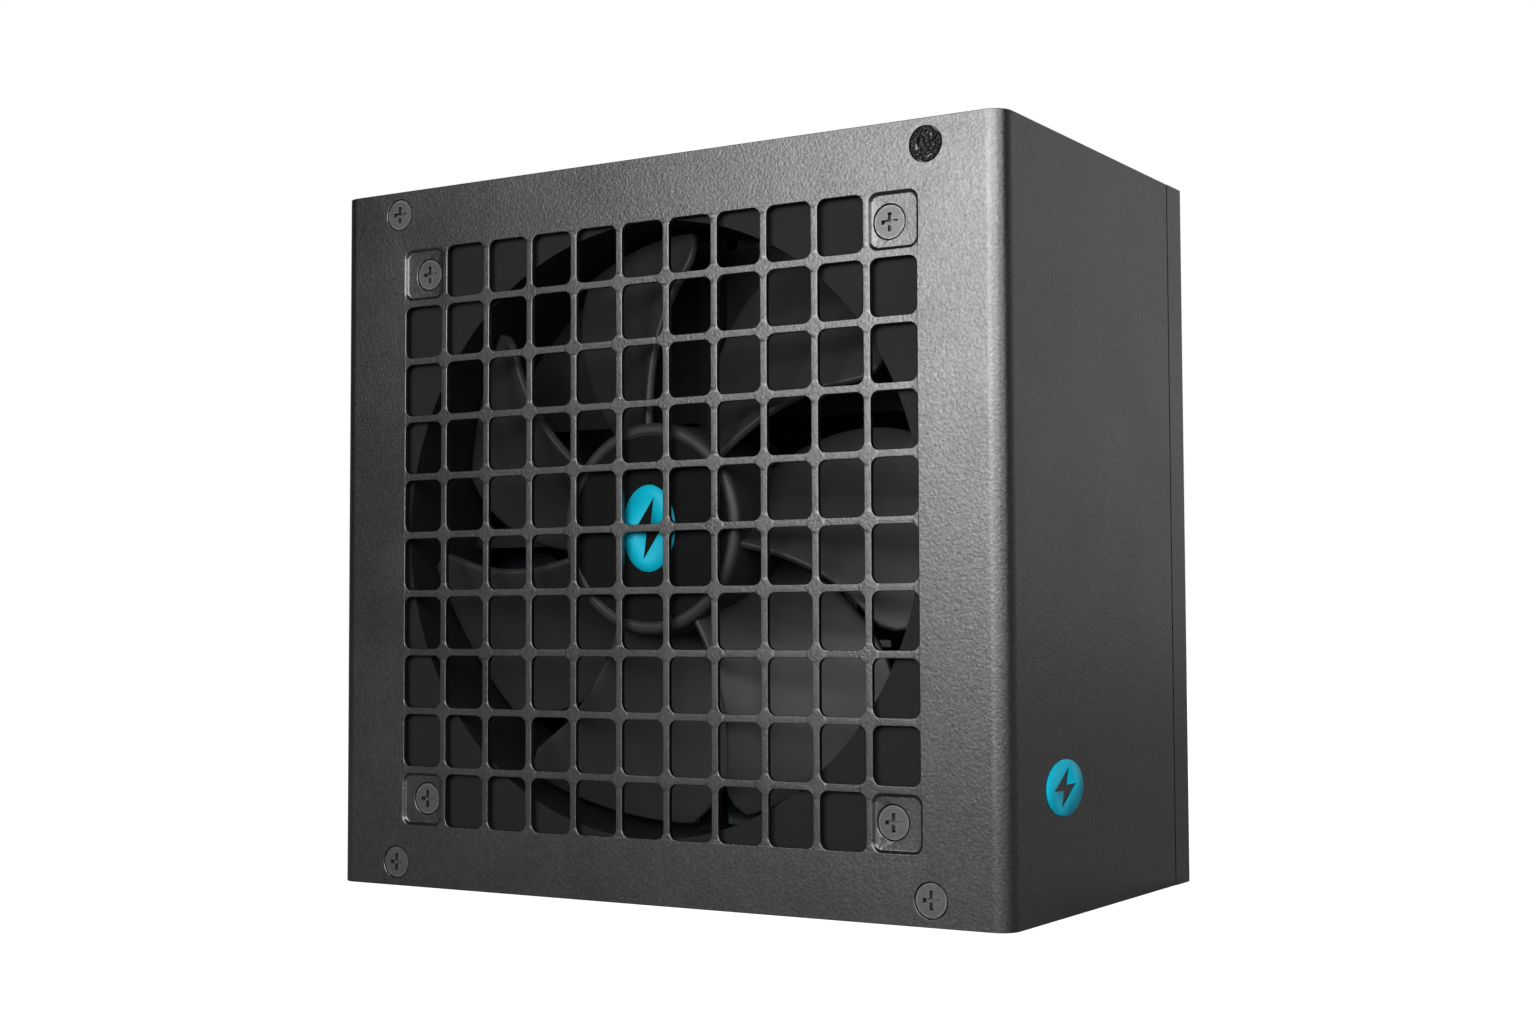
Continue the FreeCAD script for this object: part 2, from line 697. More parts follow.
def fan_frame():
    body = new_body("fan_frame")
    square = sketch(body, "frame_square", "XZ_Plane", f"0 - {FAN_FRONT}")
    rounded_rectangle(square, "0", "0", "fan_size", "fan_size", "fan_flange")
    backward_pad(body, "frame_block", square, "fan_depth")
    holes = sketch(body, "frame_holes", "XZ_Plane", f"0 - {FAN_FRONT}")
    circle(holes, "0", "0", "fan_bore")
    for sx in (-1, 1):
        for sz in (-1, 1):
            circle(holes, f"{sx}*fan_hole_step/2", f"{sz}*fan_hole_step/2", "fan_hole")
    pocket(body, "frame_bore", holes, "fan_depth")
    relief = sketch(body, "corner_reliefs", "XZ_Plane", f"0 - {FAN_FRONT} - fan_flange")
    far, near = "(fan_size/2 + 1)", "((fan_bore + 2)*1.41421356 - fan_size/2 - 1)"
    for sx in (-1, 1):
        for sz in (-1, 1):
            outline(relief, [(f"{sx}*{far}", f"{sz}*{near}"), (f"{sx}*{far}", f"{sz}*{far}"),
                             (f"{sx}*{near}", f"{sz}*{far}")])
    pocket(body, "corner_cuts", relief, "fan_depth - 2*fan_flange")
    struts = sketch(body, "strut_shape", "XZ_Plane", f"0 - {FAN_BACK}")
    middle, run = "(motor_base + fan_bore)/2", "fan_bore - motor_base + 2"
    for side in (-1, 1):
        rectangle(struts, f"{side}*{middle}", "0", run, "fan_flange")
        rectangle(struts, "0", f"{side}*{middle}", "fan_flange", run)
    pad(body, "struts", struts, "fan_flange")
    base = sketch(body, "motor_base", "XZ_Plane", f"0 - {FAN_BACK}")
    circle(base, "0", "0", "motor_base")
    pad(body, "base_disc", base, "base_thick")
    post = sketch(body, "post_ring", "XZ_Plane", f"0 - {BASE_FACE}")
    circle(post, "0", "0", POST_RADIUS)
    pad(body, "bearing_post", post, f"{BASE_FACE} - {POST_TOP}")
    seat = sketch(body, "bearing_seat", "XZ_Plane", f"0 - {POST_TOP}")
    circle(seat, "0", "0", BEARING_RADIUS)
    pocket(body, "seat_bore", seat, f"{BASE_FACE} - {POST_TOP} + base_thick/2")
    return node(to_fan_axis(body), "fan_frame")


def hub():
    """The rotor's cup: face with a sunk label, chamfered rim, wall and shaft boss."""
    body = new_body("hub")
    half = sketch(body, "hub_half", "XY_Plane")
    sunk = f"{HUB_FRONT} + 0.3"
    boss = f"{HUB_FRONT} + hub_face + 2.4"
    outline(half, [("0", sunk), ("hub_label_radius", sunk), ("hub_label_radius", HUB_FRONT),
                   ("hub_radius - hub_chamfer", HUB_FRONT), ("hub_radius", f"{HUB_FRONT} + hub_chamfer"),
                   ("hub_radius", f"{HUB_FRONT} + hub_length"),
                   ("hub_radius - hub_wall", f"{HUB_FRONT} + hub_length"),
                   ("hub_radius - hub_wall", f"{HUB_FRONT} + hub_face"),
                   ("shaft_radius*2.3", f"{HUB_FRONT} + hub_face"), ("shaft_radius*2.3", boss),
                   ("shaft_radius", boss), ("shaft_radius", f"{HUB_FRONT} + hub_face/2"),
                   ("0", f"{HUB_FRONT} + hub_face/2")])
    turned(body, "hub_cup", half)
    return to_fan_axis(body)


def blade_section(radius, sweep, front, back, spread, bow):
    """A closed thin curved section in the plane X = radius: axial along Y, turning along Z."""
    start = V(radius, front, sweep - spread / 2)
    end = V(radius, back, sweep + spread / 2)
    across = V(0, start.z - end.z, end.y - start.y).normalize()
    middle = (start + end) / 2 + across * bow
    half = sheet.blade_thick / 2
    edge = across * (half * 0.45)
    upper = Part.Arc(start + edge, middle + across * half, end + edge).toShape()
    tip = Part.LineSegment(end + edge, end - edge).toShape()
    lower = Part.Arc(end - edge, middle - across * half, start - edge).toShape()
    nose = Part.LineSegment(start - edge, start + edge).toShape()
    return Part.Wire([upper, tip, lower, nose])


def fan_rotor():
    """Hub and seven broad swept blades, trimmed to the tip circle."""
    front = -sheet.case_depth / 2 + sheet.pad_sink + sheet.sheet_thick + sheet.hub_inset
    first = front + 1.2
    last = front + sheet.hub_length + 0.6
    root, tip = sheet.hub_radius - 1.2, sheet.blade_tip
    sections = []
    for share in (0, 0.5, 1.1):
        radius = root + share * (tip - root)
        room = 2 * math.pi * radius / BLADES
        sections.append(blade_section(radius, -0.26 * share ** 2 * tip, first + 2.5 * share,
                                      last - 3 * share, room * (0.86 - 0.1 * share),
                                      2.2 + 1.6 * share))
    blade = Part.makeLoft(sections, True)
    disc = Part.makeCylinder(tip, 60, V(0, front - 20, 0), V(0, 1, 0))
    core = Part.makeCylinder(root, 60, V(0, front - 20, 0), V(0, 1, 0))
    blade = blade.common(disc).cut(core)
    pieces = [hub()]
    for i in range(BLADES):
        piece = doc.addObject("Part::Feature", f"blade_{i + 1}")
        turned_blade = blade.copy()
        turned_blade.rotate(V(0, 0, 0), V(0, 1, 0), 360 * i / BLADES + 12)
        piece.Shape = turned_blade
        to_fan_axis(piece)
        pieces.append(piece)
    return node(fuse("rotor", *pieces), "fan_rotor")


def fan_tube(label, front, outer, inner, length):
    return node(tube(label, ("0", front, MIDDLE_UP), outer, inner, length), label)


def fan_motor():
    label = rod("hub_disc", ("0", f"{HUB_FRONT} + 0.3 - sticker_thick", MIDDLE_UP),
                "hub_label_radius - 0.2", "sticker_thick")
    node(label, "hub_label")
    flash = new_body("flash")
    drawing = sketch(flash, "flash_outline", "XZ_Plane", f"0 - {HUB_FRONT} - 0.3 + sticker_thick")
    outline(drawing, bolt_corners("0", "0", 12, 16.4))
    pad(flash, "flash_film", drawing, "sticker_thick*0.8")
    node(to_fan_axis(flash), "hub_emblem")

    cup = "(hub_radius - hub_wall)"
    fan_tube("rotor_yoke", f"{HUB_FRONT} + hub_face", cup, f"{cup} - 0.8", "hub_length - hub_face - 1")
    fan_tube("rotor_magnet", f"{HUB_FRONT} + hub_face + 1", f"{cup} - 0.8", f"{cup} - 2.3",
             "hub_length - hub_face - 3")
    fan_tube("fan_bearing", f"{POST_TOP} + 0.4", BEARING_RADIUS, "shaft_radius + shaft_gap",
             "bearing_length")
    fan_tube("fan_circuit_board", f"{BASE_FACE} - 1.2", f"{cup} - 3", f"{POST_RADIUS} + 0.1", "1.2")
    shaft_front = f"{HUB_FRONT} + hub_face/2"
    shaft = rod("shaft_rod", ("0", shaft_front, MIDDLE_UP), "shaft_radius",
                f"{BASE_FACE} - {HUB_FRONT} - hub_face/2")
    groove = tube("shaft_groove", ("0", CLIP_FRONT, MIDDLE_UP), "shaft_radius + 1",
                  "shaft_radius - 0.25", "0.4")
    node(cut("shaft", shaft, groove), "rotor_shaft")
    clip = tube("clip_ring", ("0", CLIP_FRONT, MIDDLE_UP), "shaft_radius + 1.2",
                "shaft_radius - 0.25", "0.4")
    mouth = block("clip_mouth", ("2", f"{CLIP_FRONT} + 0.2", MIDDLE_UP), ("4", "1", "1.4"))
    node(cut("clip", clip, mouth), "shaft_clip")
    stator()


def around_fan(name, distance, spans):
    """Four blocks round the fan axis, each at a distance, with radial, axial and tangential spans."""
    radial, axial, tangential = spans
    middle = f"{POST_TOP} + 5"
    return [block(f"{name}_{i}", (f"{sx}*{distance}", middle, f"{MIDDLE_UP} + {sz}*{distance}"),
                  (radial if sx else tangential, axial, tangential if sx else radial))
            for i, (sx, sz) in enumerate([(1, 0), (0, 1), (-1, 0), (0, -1)])]


def stator():
    reach = "(hub_radius - hub_wall - 3.1)"
    front = f"{POST_TOP} + 2"
    shoes = doc.addObject("Part::Common", "pole_shoes")
    shoes.Base = tube("shoe_ring", ("0", front, MIDDLE_UP), reach, f"{reach} - 2", "6")
    shoes.Tool = fuse("shoe_cross", *around_fan("shoe_cut", f"({reach} - 2)", ("8", "8", "15")))
    ring_core = tube("core_ring", ("0", front, MIDDLE_UP), f"{POST_RADIUS} + 2.4", POST_RADIUS, "6")
    arms = around_fan("pole_arm", f"({reach}/2 + 2.4)", (f"{reach} - 6.2", "6", "3"))
    node(fuse("stator", ring_core, shoes, *arms), "stator_core")
    gaps = fuse("coil_gaps", *around_fan("coil_gap", f"({reach}/2 + 2.4)", (reach, "6", "3")))
    coils = group("coil_blocks", around_fan("coil", f"({reach}/2 + 2.4)", ("4.6", "9", "7.2")))
    node(cut("windings", coils, gaps), "stator_coils")


def air_baffle():
    """A clear film on the fan's back that keeps air from leaving straight through the vents."""
    film = block("baffle", ("0", f"{FAN_BACK} + sheet_film/2", f"{MIDDLE_UP} + fan_size/2 - 21"),
                 ("fan_size - 20", "sheet_film", "34"))
    node(film, "air_baffle")


def fan_lead():
    """Two-wire lead along a strut, over the frame's edge and down to its plug on the board."""
    back = -sheet.case_depth / 2 + sheet.pad_sink + sheet.sheet_thick + sheet.fan_depth
    middle = sheet.case_height / 2
    side = sheet.case_width / 2 - 9
    face = sheet.case_depth / 2 - sheet.sheet_thick - sheet.standoff_height - sheet.board_thick
    low = sheet.board_low + 27
    lead = 1.2
    flat = back + lead + 0.1
    points = [V(8, flat, middle), V(30, flat, middle), V(52, flat + 1.5, middle - 3),
              V(side - 2, flat + 10, middle - 11), V(side, flat + 24, low + 6), V(side, face - 8.4, low)]
    node(wire("lead", lead, points), "fan_cable")
    plug = block("plug", (f"{RIGHT} - 9", f"{BOARD_FACE} - 4", "board_low + 27"), ("6", "8", "10"))
    node(plug, "fan_plug")


# ---------------------------------------------------------------- mains panel

def screw_down(name, x, y, top):
    """A flat-head screw driven down through a panel."""
    cone = doc.addObject("Part::Cone", f"{name}_cone")
    bind(cone, "Radius1", "head_radius - head_cone")
    bind(cone, "Radius2", "head_radius")
    bind(cone, "Height", "head_cone")
    put(cone, x, y, f"{top} - head_cone")
    shank = rod(f"{name}_shank", (x, y, f"{top} - screw_reach"), "thread_radius", "screw_reach", "z")
    bars = [block(f"{name}_bar_{i}", (x, y, top), spans) for i, spans in enumerate(
        [("cross_long", "cross_wide", "cross_deep*1.6"), ("cross_wide", "cross_long", "cross_deep*1.6")])]
    return cut(name, fuse(f"{name}_body", cone, shank), fuse(f"{name}_cross", *bars))


PRONGS = [("0 - prong_step/2", "0 - prong_wide/2"), ("prong_step/2", "0 - prong_wide/2"),
          ("0", "prong_wide/2")]


def mains_inlet():
    """Flanged three-pin inlet: an open hollow with two cut corners and its prongs."""
    body = new_body("mains_inlet")
    top = "case_height + inlet_flange_thick"
    flange = sketch(body, "inlet_flange", "XY_Plane", "case_height")
    rounded_rectangle(flange, INLET_X, PANEL_Y, "inlet_flange_wide", "inlet_flange_tall", "4")
    pad(body, "flange_plate", flange, "inlet_flange_thick")
    case = sketch(body, "inlet_case", "XY_Plane", f"{top} - inlet_hollow_deep - inlet_floor")
    rectangle(case, INLET_X, PANEL_Y, "inlet_hollow_wide + 2*inlet_wall",
              "inlet_hollow_tall + 2*inlet_wall")
    pad(body, "case_block", case, "inlet_hollow_deep + inlet_floor - inlet_flange_thick")
    mouth = sketch(body, "inlet_mouth", "XY_Plane", top)
    x, y, slope = "inlet_hollow_wide/2", "inlet_hollow_tall/2", "4.5"
    corners = [(f"0-{x}", f"0-{y}"), (x, f"0-{y}"), (x, f"{y} - {slope}"), (f"{x} - {slope}", y),
               (f"{slope} - {x}", y), (f"0-{x}", f"{y} - {slope}")]
    outline(mouth, [(f"{INLET_X} + {a}", f"{PANEL_Y} + {b}") for a, b in corners])
    pocket(body, "inlet_hollow", mouth, "inlet_hollow_deep")
    slots = sketch(body, "prong_slots", "XY_Plane", top)
    for a, b in PRONGS:
        rectangle(slots, f"{INLET_X} + {a}", f"{PANEL_Y} + {b}", "prong_thick", "prong_wide")
    pocket(body, "prong_cuts", slots, "inlet_hollow_deep + inlet_floor*2")
    rings = sketch(body, "inlet_screw_rings", "XY_Plane", top)
    bores = sketch(body, "inlet_screw_bores", "XY_Plane", top)
    for side in (-1, 1):
        circle(rings, f"{INLET_X} + {side}*inlet_screw_step/2", PANEL_Y, "head_radius + 2*screw_gap")
        circle(bores, f"{INLET_X} + {side}*inlet_screw_step/2", PANEL_Y, "thread_radius + screw_gap")
    pocket(body, "inlet_sinks", rings, "head_cone + 2*screw_gap", taper=-45)
    pocket(body, "inlet_bores", bores, "inlet_flange_thick*2")
    node(body, "mains_inlet")

    floor = f"({top} - inlet_hollow_deep)"
    prongs = []
    for i, (a, b) in enumerate(PRONGS):
        at = (f"{INLET_X} + {a}", f"{PANEL_Y} + {b}")
        blade = block(f"prong_{i}", (*at, f"{floor} + (prong_high - inlet_floor)/2"),
                      ("prong_thick", "prong_wide", "prong_high + inlet_floor"))
        tab = block(f"prong_tab_{i}", (*at, f"{floor} - inlet_floor - tab_long/2"),
                    ("0.8", "prong_wide", "tab_long"))
        prongs.append(fuse(f"prong_and_tab_{i}", blade, tab))
    node(group("prongs", prongs), "inlet_prongs")
    screws = [screw_down(f"inlet_screw_{i}", f"{INLET_X} + {side}*inlet_screw_step/2", PANEL_Y,
                         f"({top} - screw_gap)") for i, side in enumerate((-1, 1))]
    node(group("inlet_screw_pair", screws), "inlet_screws")


def mains_switch():
    """Rocker switch: a rimmed case with a hollow, the tilting rocker and two tabs."""
    pivot = "(case_height - 3)"
    body = new_body("switch_case")
    rim = sketch(body, "switch_rim", "XY_Plane", "case_height")
    rectangle(rim, SWITCH_X, PANEL_Y, "switch_wide + 2.4", "switch_tall + 2.4")
    pad(body, "rim_plate", rim, "switch_rim")
    case = sketch(body, "switch_block", "XY_Plane", "case_height - switch_deep")
    rectangle(case, SWITCH_X, PANEL_Y, "switch_wide", "switch_tall")
    pad(body, "switch_body", case, "switch_deep")
    hollow = sketch(body, "switch_hollow", "XY_Plane", "case_height + switch_rim")
    rectangle(hollow, SWITCH_X, PANEL_Y, "rocker_wide + 2*rocker_gap", "rocker_tall + 4*rocker_gap")
    pocket(body, "hollow_cut", hollow, "switch_deep - 2")
    bearings = sketch(body, "rocker_bearings", "YZ_Plane",
                      f"{SWITCH_X} + rocker_wide/2 + rocker_gap + 0.9")
    circle(bearings, PANEL_Y, pivot, "rocker_pin + rocker_pin_gap")
    pocket(body, "bearing_holes", bearings, "rocker_wide + 2*rocker_gap + 1.8")
    node(body, "switch_case")

    rocker = new_body("switch_rocker")
    side = sketch(rocker, "rocker_side", "YZ_Plane", "0 - rocker_wide/2")
    half = "rocker_tall/2"
    outline(side, [(f"0-{half}", "4.6"), (f"0.2-{half}", "0-0.5"), ("0-2", "0-5"), ("2", "0-5"),
                   (f"{half}-0.2", "0-0.5"), (half, "4.6"), ("0", "3.4")])
    pad(rocker, "rocker_block", side, "rocker_wide")
    reach = "(rocker_wide/2 + rocker_gap + 0.8)"
    pin = sketch(rocker, "rocker_pins", "YZ_Plane", f"0 - {reach}")
    circle(pin, "0", "0", "rocker_pin")
    pad(rocker, "pivot_pins", pin, f"2*{reach}")
    rocker.Placement = FreeCAD.Placement(V(0, 0, 0), FreeCAD.Rotation(V(1, 0, 0), -sheet.rocker_tilt))
    for axis, text in zip("xyz", (SWITCH_X, PANEL_Y, pivot)):
        bind(rocker, f"Placement.Base.{axis}", text)
    node(rocker, "switch_rocker")
    tabs = [block(f"switch_tab_{i}", (SWITCH_X, f"{PANEL_Y} + {side}*5",
                                      "case_height - switch_deep - tab_long/2"),
                  ("6.3", "0.8", "tab_long")) for i, side in enumerate((-1, 1))]
    node(group("switch_tabs", tabs), "switch_tabs")


# ---------------------------------------------------------------- main board

def on_board(name, x, z, wide, tall, high, lift="0"):
    """A block standing on the component side of the main board."""
    return block(name, (x, f"{BOARD_FACE} - {lift} - ({high})/2", z), (wide, high, tall))


def can(name, x, z, radius, high, lift="0"):
    """A round part standing on the main board."""
    return rod(name, (x, f"{BOARD_FACE} - {lift} - ({high})", z), radius, high)


def main_board():
    high = "(case_height - board_top_gap - board_low)"
    plate = block("plate", ("0", f"{BOARD_FACE} + board_thick/2", f"board_low + {high}/2"),
                  (f"2*({INNER_RIGHT} - board_side_gap)", "board_thick", high))
    bores = [rod(f"board_bore_{i}", (x, BOARD_FACE, z), "thread_radius + screw_gap", "board_thick")
             for i, (x, z) in enumerate(standoff_places())]
    node(cut("board", plate, *bores), "main_board")
    stands, screws = [], []
    for i, (x, z) in enumerate(standoff_places()):
        post = rod(f"post_{i}", (x, BOARD_BACK, z), "standoff_radius", "standoff_height")
        bore = rod(f"post_bore_{i}", (x, BOARD_BACK, z), "thread_radius + screw_gap", "standoff_height - 1")
        stands.append(cut(f"standoff_{i}", post, bore))
        head = can(f"pan_{i}", x, z, "standoff_radius", "1.8")
        shank = rod(f"pan_shank_{i}", (x, BOARD_FACE, z), "thread_radius", "board_thick + 3")
        slot = [block(f"pan_slot_{i}_{k}", (x, f"{BOARD_FACE} - 1.8", z), spans) for k, spans in
                enumerate([("cross_long", "1.6", "cross_wide"), ("cross_wide", "1.6", "cross_long")])]
        screws.append(cut(f"board_screw_{i}", fuse(f"pan_body_{i}", head, shank),
                          fuse(f"pan_cross_{i}", *slot)))
    node(group("standoffs", stands), "board_standoffs")
    node(group("pan_screws", screws), "board_screws")


def primary_side():
    """Mains filter, rectifier, boost choke and storage capacitors, below the mains panel."""
    caps_x, first_cap = f"({LEFT} + 22)", "(case_height - 54)"
    caps = [can(f"bulk_{i}", caps_x, f"{first_cap} - {i}*(2*bulk_radius + 3)", "bulk_radius",
                "bulk_height") for i in range(2)]
    node(group("bulk_pair", caps), "bulk_capacitors")

    sink_x, sink_z = f"({LEFT} + 45)", "(case_height - 70)"
    plate = on_board("primary_plate", sink_x, sink_z, "sink_thick", "46", "38", "2")
    fins = [on_board(f"primary_fin_{i}", f"{sink_x} + 5", f"{sink_z} + {i - 2}*10", "10", "1.4",
                     "30", "8") for i in range(5)]
    node(fuse("primary_fins", plate, *fins), "primary_heatsink")
    switches = [on_board(f"switching_{i}", f"{sink_x} - sink_thick/2 - 2.3", f"{sink_z} + {i}*18 - 16",
                         "4.6", "10", "18", "3") for i in range(2)]
    node(group("switching_pair", switches), "primary_transistors")
    bridge = on_board("bridge", f"({LEFT} + 68)", "(case_height - 46)", "24", "4.6", "20", "4")
    node(bridge, "bridge_rectifier")

    chokes, coils = [], []
    for i in range(2):
        x, z = f"({RIGHT} - {56 - 24 * i})", "(case_height - 22)"
        middle = (x, f"{BOARD_FACE} - 13", z)
        core = ring(f"filter_ring_{i}", middle, "7", "2.4", "z")
        chokes.append(core)
        wound = [ring(f"filter_turns_{i}_{side}", middle, "7", "3.8", "z", 140) for side in (0, 1)]
        wound[1].Placement = FreeCAD.Placement(V(0, 0, 0), FreeCAD.Rotation(V(0, 0, 1), 180))
        for axis, text in zip("xyz", middle):
            bind(wound[1], f"Placement.Base.{axis}", text)
        coils += [cut(f"filter_coil_{i}_{side}", turns, ring(f"filter_hollow_{i}_{side}", middle,
                                                             "7", "2.4", "z"))
                  for side, turns in enumerate(wound)]
    node(group("filter_cores", chokes), "filter_choke_cores")
    node(group("filter_coils", coils), "filter_choke_windings")

    films = [on_board(f"film_{i}", f"({RIGHT} - 13.5)", f"(case_height - {25.5 + 9 * i})",
                      "11", "7.5", "17") for i in range(2)]
    node(group("film_pair", films), "x_capacitors")
    discs = []
    for i in range(4):
        disc = rod(f"disc_{i}", (f"({RIGHT} - {62 - 11 * i})", f"{BOARD_FACE} - 6", "case_height - 37"),
                   "4", "3", "z")
        discs.append(disc)
    node(group("disc_set", discs), "y_capacitors")
    fuse_y, fuse_z = f"{BOARD_FACE} - 4", "case_height - 11"
    fuse_tube = rod("fuse_tube", (f"({LEFT} + 80)", fuse_y, fuse_z), "3", "20", "x")
    caps = [rod(f"fuse_cap_{i}", (f"({LEFT} + {80 + 15 * i})", fuse_y, fuse_z), "3.4", "5", "x")
            for i in range(2)]
    node(group("fuse_parts", [cut("fuse_glass", fuse_tube, *caps), *caps]), "mains_fuse")
    relay = on_board("relay", f"({LEFT} + 67)", "(case_height - 38)", "19", "11", "15")
    node(relay, "inrush_relay")

    middle = (f"({RIGHT} - 27)", f"{BOARD_FACE} - 7", "case_height - 57")
    core = ring("boost_ring", middle, "11", "3.8")
    turns = ring("boost_turns", middle, "11", "5.6", "y", 300)
    hollow = ring("boost_hollow", middle, "11", "3.8")
    node(core, "boost_choke_core")
    node(cut("boost_coil", turns, hollow), "boost_choke_winding")


def ferrite_core(name, x, z, wide, tall, high):
    """A closed core frame round a winding window, with its middle leg."""
    frame = on_board(f"{name}_frame", x, z, wide, tall, high, "3")
    gaps = [on_board(f"{name}_gap_{side}", f"{x} + {side}*{wide}*0.29", z, f"{wide}*0.24",
                     f"{tall} + 2", f"{high} - 12", "9") for side in (-1, 1)]
    return cut(name, frame, *gaps)


def secondary_side():
    """Transformers, rectifier heatsink, smoothing parts and the two converter boards."""
    x, z, wide, tall, high = "(0 - 2.5)", "(case_height - 78)", "33", "16", "34"
    node(ferrite_core("transformer", x, z, wide, tall, high), "transformer_core")
    bobbin = on_board("bobbin", x, z, "27", "30", "21.6", "9.2")
    keep = on_board("bobbin_keep", x, z, "33", "16", "34", "3")
    inner = [on_board(f"bobbin_side_{side}", f"{x} + {side}*{wide}*0.29", z, f"{wide}*0.24", "16",
                      "21.6", "9.2") for side in (-1, 1)]
    outer = cut("bobbin_ends", bobbin, keep)
    node(group("bobbin_parts", [outer, *inner]), "transformer_winding")

    small = on_board("small_transformer", "(0 - 6)", "board_low + 22", "18", "18", "18")
    node(small, "standby_transformer")
    resonant = on_board("resonant", "(0 - 28)", "board_low + 21.5", "18", "16", "22")
    node(resonant, "resonant_inductor")

    sink_x = f"({RIGHT} - 54)"
    plate = on_board("secondary_plate", sink_x, "board_low + 38", "sink_thick", "36", "34", "2")
    fins = [on_board(f"secondary_fin_{i}", f"{sink_x} + 4", f"board_low + {24 + 9 * i}", "8", "1.4",
                     "26", "8") for i in range(4)]
    node(fuse("secondary_fins", plate, *fins), "secondary_heatsink")
    rectifiers = [on_board(f"rectifier_{i}", f"{sink_x} - sink_thick/2 - 2.3",
                           f"board_low + {28 + 14 * i}", "4.6", "10", "18", "3") for i in range(2)]
    node(group("rectifier_pair", rectifiers), "secondary_rectifiers")

    boards, coils = [], []
    for i in range(2):
        x = f"({RIGHT} - {39 - 14 * i})"
        boards.append(on_board(f"converter_{i}", x, "board_low + 35", "1.6", "30", "30"))
        for k in range(2):
            coils.append(on_board(f"converter_coil_{i}_{k}", f"{x} + 4.8", f"board_low + {27 + 16 * k}",
                                  "8", "11", "11", "14"))
    node(group("converter_boards", boards), "converter_boards")
    node(group("converter_coils", coils), "output_inductors")
    cans = [can(f"output_can_{i}", f"({LEFT} + {21 + 12 * i})", "board_low + 7.5", "4.6", "18")
            for i in range(10)]
    node(group("output_cans", cans), "output_capacitors")


# ---------------------------------------------------------------- modular panel

def socket_set(label, first_x, first_y, columns, across, deep):
    """Equal sockets in rows and columns, each with two rows of wells, and their contacts."""
    sockets = new_body(label, separate_solids=True)
    shape = sketch(sockets, f"{label}_block", "XY_Plane", "socket_sink")
    rectangle(shape, first_x, first_y, f"pin_step*{columns} + socket_wall", "socket_wide")
    housing = pad(sockets, f"{label}_housing", shape, "socket_high")
    doc.recompute()
    runs = [(across, f"socket_column_step*{across - 1}"), (deep, f"socket_row_step*{deep - 1}")]
    if across * deep > 1:
        grid(sockets, f"{label}_row", [housing], shape, *runs)
    pin_x = f"{first_x} - pin_step*{(columns - 1) / 2}"
    pin_y = f"{first_y} - pin_step/2"
    pins = [(columns, f"pin_step*{columns - 1}"), (2, "pin_step")]
    well = sketch(sockets, f"{label}_well", "XY_Plane", "socket_sink + socket_high - socket_floor")
    rectangle(well, pin_x, pin_y, "socket_well", "socket_well")
    bore = pocket(sockets, f"{label}_bore", well, "socket_high")
    doc.recompute()
    grid(sockets, f"{label}_wells", [bore], well, *pins, *runs)
    node(sockets, label)
    contacts = new_body(f"{label}_pins", separate_solids=True)
    stem = sketch(contacts, f"{label}_stem", "XY_Plane", "socket_sink + 3")
    rectangle(stem, pin_x, pin_y, "socket_wall", "socket_wall")
    bar = pad(contacts, f"{label}_pin", stem, "socket_high - socket_floor - 3")
    doc.recompute()
    grid(contacts, f"{label}_pin_set", [bar], stem, *pins, *runs)
    return contacts


def modular_panel():
    """Sockets behind the panel's mouths, their contacts, their board and the copper bars."""
    second_row = f"({SOCKET_BACK_ROW} - socket_row_step)"
    third_row = f"({SOCKET_BACK_ROW} - 2*socket_row_step)"
    contacts = [
        socket_set("socket_24pin", SOCKET_24_X, SOCKET_BACK_ROW, 12, 1, 1),
        socket_set("sockets_8pin", SOCKET_8_X, second_row, 4, 3, 2),
        socket_set("sockets_6pin", SOCKET_6_X, third_row, 3, 3, 2)]
    node(group("contacts", contacts), "socket_contacts")

    top = "socket_sink + socket_high"
    back = "(case_depth/2 - sheet_thick - 8)"
    front = f"({back} - 48)"
    plate = block("modular_plate", ("0", f"({back} + {front})/2", f"{top} + board_thick/2"),
                  (f"2*({INNER_RIGHT} - 5)", f"{back} - {front}", "board_thick"))
    node(plate, "modular_board")
    low = f"({top} + board_thick)"
    bars = [block(f"bar_{i}", (f"({RIGHT} - {64 - 12 * i})", f"{BOARD_FACE} - 1.5",
                               f"({low} + board_low + 2.5)/2"),
                  ("6", "3", f"board_low + 2.5 - {low}")) for i in range(4)]
    node(group("bars", bars), "bus_bars")


# ---------------------------------------------------------------- mains wires

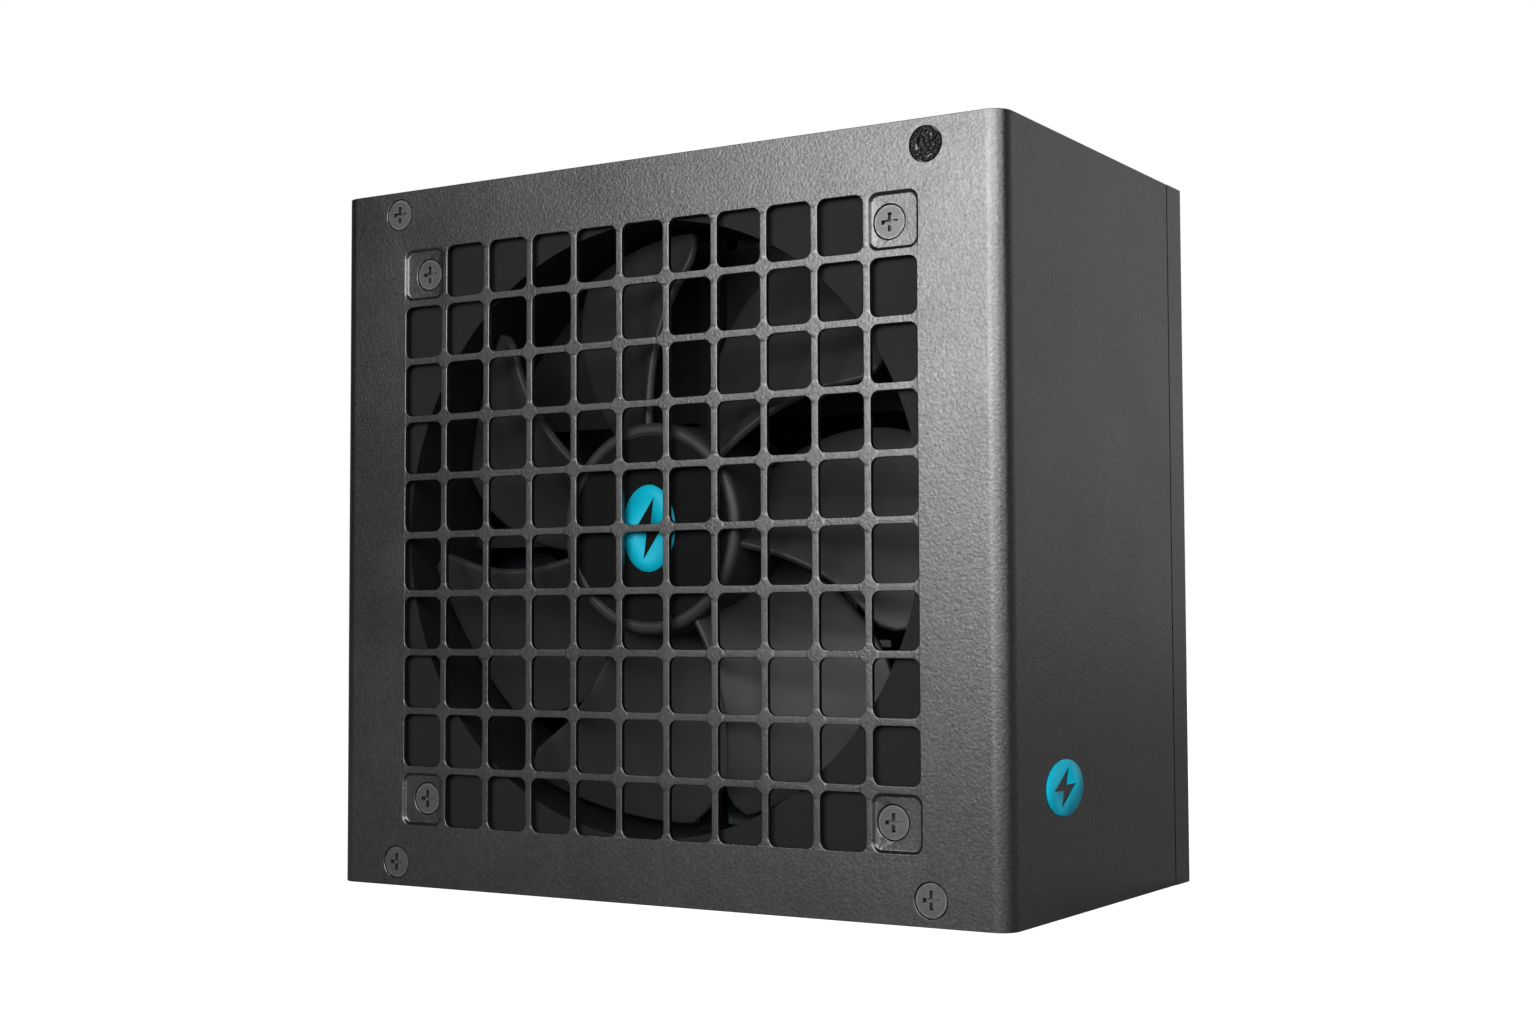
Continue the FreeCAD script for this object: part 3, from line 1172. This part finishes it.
def mains_wires():
    """Live wire from the inlet to the switch; neutral and switched live on to the board."""
    left, right, back = -sheet.case_width / 2, sheet.case_width / 2, sheet.case_depth / 2
    panel_y = back - sheet.panel_parts_y
    face = back - sheet.sheet_thick - sheet.standoff_height - sheet.board_thick
    top = sheet.case_height
    inlet = left + sheet.inlet_x
    switch = left + sheet.switch_x
    tab_low = top + sheet.inlet_flange_thick - sheet.inlet_hollow_deep - sheet.inlet_floor
    tab_low -= sheet.tab_long
    switch_low = top - sheet.switch_deep - sheet.tab_long
    live, neutral = inlet - sheet.prong_step / 2, inlet + sheet.prong_step / 2
    front_y = panel_y - sheet.prong_wide / 2
    radius = 1.2
    wires = [
        wire("live_wire", radius, [V(live, front_y, tab_low), V(live + 1, front_y - 5, tab_low - 8),
                                   V(live + 12, front_y - 14, tab_low - 8),
                                   V(live + 26, front_y - 17, tab_low - 6),
                                   V(switch - 4, front_y - 14, switch_low - 10),
                                   V(switch, panel_y - 5, switch_low)]),
        wire("neutral_wire", radius, [V(neutral, front_y, tab_low), V(neutral + 1, front_y - 4, tab_low - 7),
                                      V(neutral + 12, front_y - 6, tab_low - 11),
                                      V(switch - 6, front_y - 5, switch_low - 10),
                                      V(switch + 10, front_y - 1, switch_low - 9),
                                      V(switch + 13, face - 9, switch_low - 9),
                                      V(switch + 13, face, switch_low - 10)]),
        wire("switched_wire", radius, [V(switch, panel_y + 5, switch_low),
                                       V(switch + 1, panel_y + 6, switch_low - 4),
                                       V(switch + 9, panel_y + 8, switch_low - 5),
                                       V(switch + 13, face, switch_low - 5)]),
    ]
    node(group("wires", wires), "mains_wires")


def write_parts():
    doc.recompute()
    for thing in doc.Objects:
        if {"Invalid", "Error"} & set(thing.State):
            raise SystemExit(f"{thing.Name} failed: {thing.State}")
    for piece in nodes:
        if piece.Shape.isNull() or not piece.Shape.isValid():
            raise SystemExit(f"{piece.Label} has no valid shape")
    os.makedirs("parts", exist_ok=True)
    for piece in nodes:
        piece.Shape.exportStep(f"parts/{piece.Label}.step")
        print(piece.Label, len(piece.Shape.Solids), round(piece.Shape.Volume, 1))
    print(len(nodes), "nodes")


fan_cover()
tray()
case_fasteners()
side_stickers()
insulation_film()
fan_frame()
fan_rotor()
fan_motor()
air_baffle()
fan_lead()
mains_inlet()
mains_switch()
main_board()
primary_side()
secondary_side()
modular_panel()
mains_wires()
write_parts()
